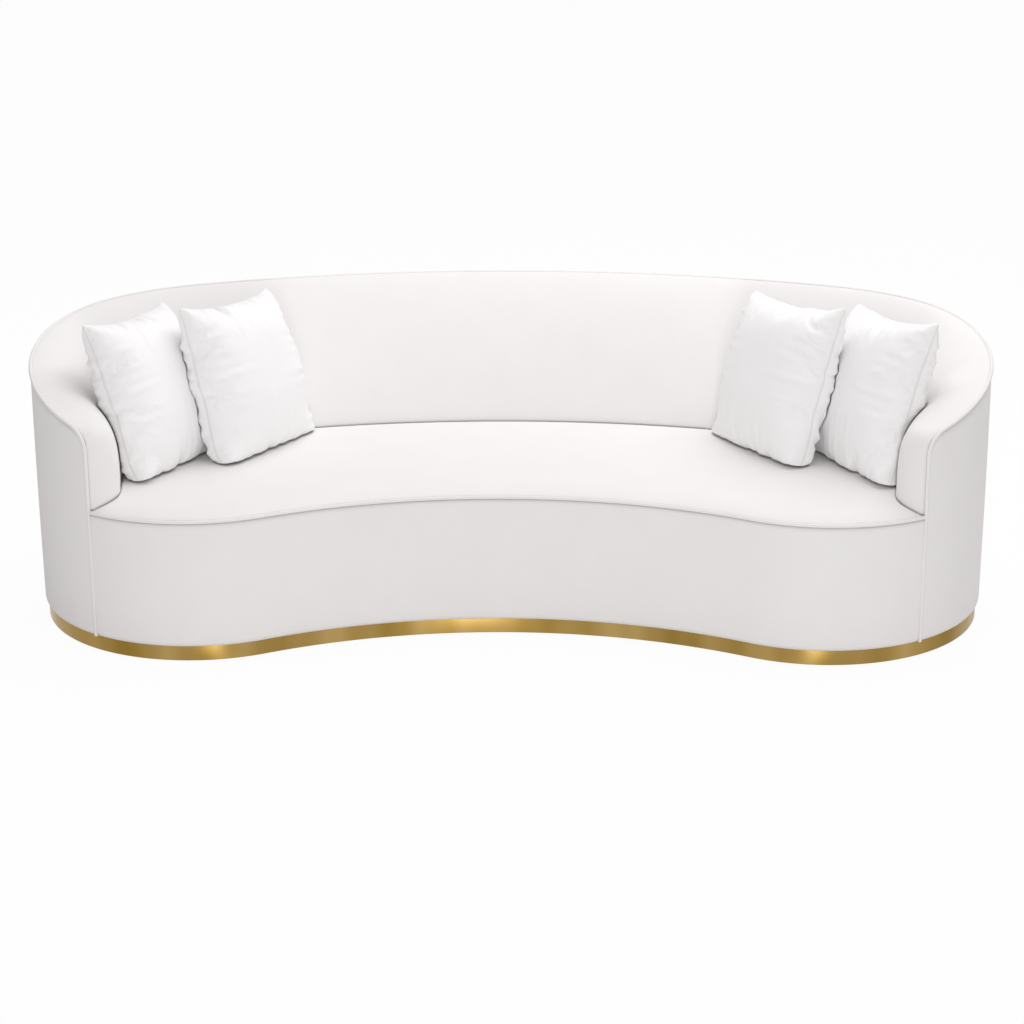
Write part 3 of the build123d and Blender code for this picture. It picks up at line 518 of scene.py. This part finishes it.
def cushion_cover(name, seed):
    """Two layers of a square grid that share their border. Each side of the cut bows out by a parabola, and
    a low cap, a power of the product of two parabolas, parts the layers. A group weighs the cloth at the
    seam."""
    n = CUSHION_LINES
    line = np.linspace(-1, 1, n)
    a, b = np.meshgrid(line, line, indexing="ij")
    x, y = a * (1 + CUSHION_FULL * (1 - b**2)), b * (1 + CUSHION_FULL * (1 - a**2))
    cap = CAP_RISE * ((1 - a**2) * (1 - b**2)).clip(0) ** 0.4
    rough = np.random.default_rng(seed).normal(0, CLOTH_ROUGHNESS, (2, n, n)) * (cap > 1e-6)
    top = np.stack([x * CUSHION_CUT / 2, y * CUSHION_CUT / 2, cap + rough[0]], axis=-1).reshape(-1, 3)
    low = np.stack([x * CUSHION_CUT / 2, y * CUSHION_CUT / 2, rough[1] - cap], axis=-1).reshape(-1, 3)
    border = ((np.abs(a) == 1) | (np.abs(b) == 1)).ravel()
    low_number = np.where(border, np.arange(n * n), n * n + np.cumsum(~border) - 1)
    points = np.concatenate([top, low[~border]])
    i, j = (grid.ravel() for grid in np.meshgrid(np.arange(n - 1), np.arange(n - 1), indexing="ij"))
    quads = np.stack([i * n + j, (i + 1) * n + j, (i + 1) * n + j + 1, i * n + j + 1], axis=-1)
    corners = np.concatenate([quads, low_number[quads[:, ::-1]]]).astype(np.int32)
    flat = top[:, :2][np.concatenate([quads, quads[:, ::-1]])]
    mesh = bpy.data.meshes.new(name)
    mesh.vertices.add(len(points))
    mesh.vertices.foreach_set("co", points.astype(np.float32).ravel())
    mesh.loops.add(corners.size)
    mesh.loops.foreach_set("vertex_index", corners.ravel())
    mesh.polygons.add(len(corners))
    mesh.polygons.foreach_set("loop_start", np.arange(0, corners.size, 4, dtype=np.int32))
    mesh.update(calc_edges=True)
    mesh.uv_layers.new(name="flat").data.foreach_set("uv", flat.astype(np.float32).ravel())
    mesh.polygons.foreach_set("use_smooth", np.ones(len(corners), bool))
    piece = bpy.data.objects.new(name, mesh)
    bpy.context.scene.collection.objects.link(piece)
    in_from_edge = 1 - np.maximum(np.abs(a), np.abs(b)).ravel()
    weight = np.clip(1 - in_from_edge / SEAM_BAND, 0, 1).round(3)
    weight = np.concatenate([weight, weight[~border]])
    seam = piece.vertex_groups.new(name="seam")
    for level in np.unique(weight[weight > 0]):
        seam.add(np.nonzero(weight == level)[0].tolist(), float(level), "REPLACE")
    return piece


FILLED_VOLUME, SEAM_SHRINK, FILL_STEPS = 0.016, 0.06, 26


def fill_cushion(piece):
    """Cloth simulation with no gravity: pressure swells the closed cover to its filled volume while the seam
    shrinks, and the settled cloth becomes the piece's own mesh."""
    cloth = piece.modifiers.new("swell", "CLOTH")
    cloth.settings.quality = 6
    cloth.settings.mass = 0.25
    cloth.settings.tension_stiffness = cloth.settings.compression_stiffness = 40
    cloth.settings.shear_stiffness = 15
    cloth.settings.bending_stiffness = 0.05
    cloth.settings.tension_damping = cloth.settings.compression_damping = cloth.settings.shear_damping = 12
    cloth.settings.air_damping = 4
    cloth.settings.use_pressure = cloth.settings.use_pressure_volume = True
    cloth.settings.uniform_pressure_force = 4
    cloth.settings.target_volume = FILLED_VOLUME
    cloth.settings.vertex_group_shrink = "seam"
    cloth.settings.shrink_min, cloth.settings.shrink_max = 0, SEAM_SHRINK
    cloth.settings.effector_weights.gravity = 0
    cloth.collision_settings.use_collision = False
    cloth.point_cache.frame_start, cloth.point_cache.frame_end = 1, 30
    for step in range(1, FILL_STEPS + 1):
        bpy.context.scene.frame_set(step)
    seen = bpy.context.evaluated_depsgraph_get()
    full = bpy.data.meshes.new_from_object(piece.evaluated_get(seen))
    piece.modifiers.clear()
    piece.data = full
    bpy.context.scene.frame_set(1)


PLEAT, PLEAT_START, PLEAT_REACH, FOOT_PLEATS = 0.004, 0.04, 0.26, 0.2
PLEAT_WAVES = ((24, 0), (37, 1), (52, 2))
HEEL, HEEL_SPREAD, HEEL_DRAW, EDGE_START = 0.026, 0.09, 0.05, 0.05
BACK_ROUND, ROUND_REACH, SAG_START = 0.024, 0.35, 0.2


def cushion_points(piece, spin):
    """Vertices of a filled cover, each half of its thickness scaled to the finished one. Pleats, a sum of
    three sines along the seam, fade inwards by exponentials and are weaker at the foot. A bell curve fills
    the two lower corners as heels, and exponentials round the back off towards its seam. The foot sags by a
    parabola, and the border is drawn in by the depth of the sewn groove. Beside them, the mask of the painted
    seam shade: 1 on the border, else 0. A spin of -1 stands the cover on its other side."""
    size = np.empty(len(piece.data.vertices) * 3, np.float32)
    piece.data.vertices.foreach_get("co", size)
    size = size.reshape(-1, 3).astype(float)
    size -= (size.max(0) + size.min(0)) / 2
    size[:, 2] *= np.where(size[:, 2] > 0, CUSHION_FRONT, CUSHION_BACK) / np.abs(size[:, 2]).max()
    line = np.linspace(-1, 1, CUSHION_LINES)
    a, b = (grid.ravel() for grid in np.meshgrid(line, line, indexing="ij"))
    border = np.nonzero(np.maximum(np.abs(a), np.abs(b)) == 1)[0]
    inner = np.maximum(np.abs(a), np.abs(b)) < 1
    a, b = np.concatenate([a, a[inner]]), np.concatenate([b, b[inner]])
    depth = 1 - np.maximum(np.abs(a), np.abs(b))
    along_seam = np.where(np.abs(a) > np.abs(b), b + np.sign(a), a + 3 + np.sign(b))
    foot = np.clip(-spin * b, 0, 1) * (np.abs(b) > np.abs(a))
    pleats = sum(np.sin(wave * along_seam + phase) for wave, phase in PLEAT_WAVES)
    off_diagonal = np.abs(np.abs(a) - np.abs(b))
    fade = (1 - np.exp(-depth / PLEAT_START)) * np.exp(-depth / PLEAT_REACH) * np.clip(6 * off_diagonal, 0, 1)
    layer = np.where(np.arange(len(size)) < CUSHION_LINES**2, 1, -1)
    size[:, 2] += layer * PLEAT * pleats * fade * (1 - (1 - FOOT_PLEATS) * foot)
    heel = np.exp(-((1 - np.abs(a)) ** 2 + (1 + spin * b) ** 2) / HEEL_SPREAD)
    off_edge = 1 - np.exp(-depth / EDGE_START)
    size[:, 2] += layer * HEEL * heel * off_edge
    rounding = off_edge * np.exp(-depth / ROUND_REACH) * np.clip(2 * off_diagonal, 0, 1)
    size[:, 2] -= (layer < 0) * BACK_ROUND * rounding
    size[:, :2] *= 1 - HEEL_DRAW * (heel**2)[:, None]
    half = np.abs(size[:, :2]).max()
    low = np.clip((-spin * size[:, 1] / half - SAG_START) / (1 - SAG_START), 0, 1) ** 2
    size[:, 1] -= spin * CUSHION_SAG * low * np.clip(1 - (size[:, 0] / half) ** 2, 0, 1)
    size[border, :2] *= 1 - SEAM_GROOVE / np.abs(size[border, :2]).max(1, keepdims=True)
    return size, np.isin(np.arange(len(size)), border).astype(np.float32)


PRESS_GAP = 0.003


def press(piece, *neighbours):
    """The cover pressed against its neighbours: points inside one move out to the nearest point of its
    surface, with a small gap, and the pressed form becomes the piece's own mesh."""
    for neighbour in neighbours:
        against = piece.modifiers.new("against", "SHRINKWRAP")
        against.target, against.offset = neighbour, PRESS_GAP
        against.wrap_method, against.wrap_mode = "NEAREST_SURFACEPOINT", "OUTSIDE"
    seen = bpy.context.evaluated_depsgraph_get()
    pressed = bpy.data.meshes.new_from_object(
        piece.evaluated_get(seen), preserve_all_data_layers=True, depsgraph=seen)
    piece.modifiers.clear()
    piece.data = pressed


# A standing cushion settles in its lowest 170 mm: heights there ease towards the seat by a power curve that
# keeps the slope at the top of that part, so the cover lies flat on the seat and bulges just above it.
SETTLE, SETTLE_POWER, SEAT_GAP = 0.17, 1.3, 0.0006
CUSHION_LIFT, CUSHION_FORWARD = 0.004, 0.006
seat_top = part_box("seat")[1][2] + SEAT_GAP
first_cover, second_cover = cushion_cover("first_cover", 3), cushion_cover("second_cover", 8)
fill_cushion(first_cover)
fill_cushion(second_cover)
for name, cover, side, spin, turn, lean, tip, flare, draw, shift in (
    ("cushion_left_inner", second_cover, -1, 1, 60, 20, 2.5, -0.04, 0.10, (0.010, 0.0)),
    ("cushion_left_outer", first_cover, -1, 1, 68, 23.5, 2.5, 0.04, 0.10, (-0.020, -0.016)),
    ("cushion_right_inner", first_cover, 1, -1, 60, 20, 4.0, -0.03, 0.02, (0.010, 0.0)),
    ("cushion_right_outer", second_cover, 1, -1, 68, 20, 4.5, 0.10, 0.03, (-0.010, -0.016)),
):
    piece = bpy.data.objects.new(name + "_cover", cover.data.copy())
    bpy.context.scene.collection.objects.link(piece)
    size, seam_shade = cushion_points(cover, spin)
    size = size * np.array([spin, spin, 1])
    level = np.clip(size[:, 1] / np.abs(size[:, 1]).max(), -1, 1)
    size[:, 0] *= 1 - flare * level.clip(max=0) - draw * level.clip(min=0)
    size[:, 1] += side * CUSHION_SKEW * size[:, 0] * level.clip(min=0)
    size[:, 1] -= CUSHION_DIP * (1 - (size[:, 0] / np.abs(size[:, 0]).max()) ** 2) * level.clip(min=0) ** 3
    heading, lean, tip = np.radians([-side * turn, lean, tip])
    across_it = np.array([np.cos(heading), np.sin(heading), 0])
    facing = np.array([np.sin(heading), -np.cos(heading), 0])
    upwards = np.array([0, 0, np.cos(lean)]) - facing * np.sin(lean)
    tipped = across_it * np.cos(tip) + upwards * side * np.sin(tip)
    through = np.cross(across_it, upwards)
    middle = np.mean([np.array(corner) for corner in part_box(name)], axis=0)
    middle = middle + upwards * CUSHION_LIFT + through * CUSHION_FORWARD
    middle = middle + np.array([side * shift[0], shift[1], 0])
    placed = middle + size @ np.stack([tipped, np.cross(through, tipped), through])
    over = np.clip((placed[:, 2] - seat_top) / SETTLE, 0, 1)
    settled = seat_top + SETTLE * (over - over * (1 - over) ** SETTLE_POWER)
    placed[:, 2] = np.where(over < 1, settled, placed[:, 2])
    piece.data.vertices.foreach_set("co", placed.astype(np.float32).ravel())
    piece.data.attributes.new("seam_shade", "FLOAT", "POINT").data.foreach_set("value", seam_shade)
    piece.data.update()
    if name.endswith("inner"):
        press(piece, inside)
        in_front = piece
    else:
        press(piece, inside, in_front)
    finer = piece.modifiers.new("finer", "SUBSURF")
    finer.levels = finer.render_levels = 1
    piece.data.materials.append(cushion_cloth)
    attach(piece, name)
    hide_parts(name)
for cover in (first_cover, second_cover):
    bpy.data.objects.remove(cover)

# Studio: a wide floor that the camera sees as white, even light from all round, a broad panel overhead and
# another in front, and a long lens a little above the sofa.
FLOOR_REACH, FLOOR_GLOW = 40, 0.96


def ray_kinds(start):
    """Light path links that are 1 for a ray from the camera, and for one that a shiny piece reflects."""
    return start.node("ShaderNodeLightPath", {}, {}, 0), start.node("ShaderNodeLightPath", {}, {}, 3)


floor_paint = bpy.data.materials.new("white_floor")
floor_paint.use_nodes = True
floor_paint.node_tree.nodes.clear()
start = Link(floor_paint.node_tree)
ray, mirrored = ray_kinds(start)
place = start.node("ShaderNodeTexCoord", {}, {}, 3)
speck = start.node("ShaderNodeTexNoise", {}, {"Vector": place, "Scale": 3.0})
white_paint = speck.blend((0.82, 0.82, 0.82, 1), (0.84, 0.84, 0.84, 1))
paint = start.node("ShaderNodeBsdfDiffuse", {}, {"Color": white_paint})
glow = start.node("ShaderNodeEmission", {}, {"Color": (1, 1, 1, 1), "Strength": 1.0})
plain = ray.maths("MAXIMUM", ray, mirrored) * FLOOR_GLOW
seen = start.node("ShaderNodeMixShader", {}, {0: plain, 1: paint, 2: glow})
start.node("ShaderNodeOutputMaterial", {}, {"Surface": seen})
floor_mesh = bpy.data.meshes.new("floor")
floor_corners = [(FLOOR_REACH * x, FLOOR_REACH * y, 0) for x, y in ((-1, -1), (1, -1), (1, 1), (-1, 1))]
floor_mesh.from_pydata(floor_corners, [], [(0, 1, 2, 3)])
floor_mesh.materials.append(floor_paint)
floor = bpy.data.objects.new("floor", floor_mesh)
bpy.context.scene.collection.objects.link(floor)

sky = bpy.data.worlds.new("studio")
sky.use_nodes = True
sky.node_tree.nodes.clear()
start = Link(sky.node_tree)
ray, mirrored = ray_kinds(start)
dim = start.node("ShaderNodeBackground", {}, {"Color": (1, 0.985, 0.98, 1), "Strength": 0.57})
white = start.node("ShaderNodeBackground", {}, {"Color": (1, 1, 1, 1), "Strength": 1.0})
shone_through = start.node("ShaderNodeLightPath", {}, {}, 6)
plain = ray.maths("MAXIMUM", ray.maths("MAXIMUM", ray, mirrored), shone_through)
seen = start.node("ShaderNodeMixShader", {}, {0: plain, 1: dim, 2: white})
start.node("ShaderNodeOutputWorld", {}, {"Surface": seen})
bpy.context.scene.world = sky


def panel(name, place, aim, size, power):
    """A square soft light at a place, turned so that its face looks at the aim."""
    lamp = bpy.data.lights.new(name, "AREA")
    lamp.shape, lamp.size, lamp.energy = "SQUARE", size, power
    hung = bpy.data.objects.new(name, lamp)
    from_aim = np.array(place, float) - np.array(aim, float)
    from_aim /= np.linalg.norm(from_aim)
    hung.location = place
    hung.rotation_euler = (np.arccos(from_aim[2]), 0, np.arctan2(from_aim[1], from_aim[0]) + np.pi / 2)
    hung.visible_camera = False
    bpy.context.scene.collection.objects.link(hung)


panel("overhead", (0.9, 1.1, 4.2), (0, -0.1, 0.4), 4.0, 116)
panel("ahead", (0.42, -6.5, 0.8), (0, 0, 0.4), 1.3, 90)

LENS_LENGTH, LENS_SHIFT, CAMERA_PLACE = 92.51, 0.00283, (0.23785, -7.1245, 2.7793)
CAMERA_TILT, CAMERA_YAW, CAMERA_ROLL = 19.7, 1.97, -0.35
lens = bpy.data.cameras.new("camera")
lens.lens, lens.sensor_width, lens.sensor_fit = LENS_LENGTH, 36, "HORIZONTAL"
lens.shift_x, lens.shift_y, lens.dof.use_dof = LENS_SHIFT, 0, False
lens.clip_end = 200
camera = bpy.data.objects.new("camera", lens)
tilt, yaw, roll = np.radians([CAMERA_TILT, CAMERA_YAW, CAMERA_ROLL])
behind = np.array([np.sin(yaw) * np.cos(tilt), -np.cos(yaw) * np.cos(tilt), np.sin(tilt)])
right = np.array([np.cos(yaw), np.sin(yaw), 0])
above = np.cross(behind, right)
stand = np.eye(4)
stand[:3, 0] = np.cos(roll) * right + np.sin(roll) * above
stand[:3, 1] = np.cos(roll) * above - np.sin(roll) * right
stand[:3, 2], stand[:3, 3] = behind, CAMERA_PLACE
camera.matrix_world = Matrix(stand.tolist())
bpy.context.scene.collection.objects.link(camera)
bpy.context.scene.camera = camera
bpy.context.scene.view_settings.view_transform = "Standard"
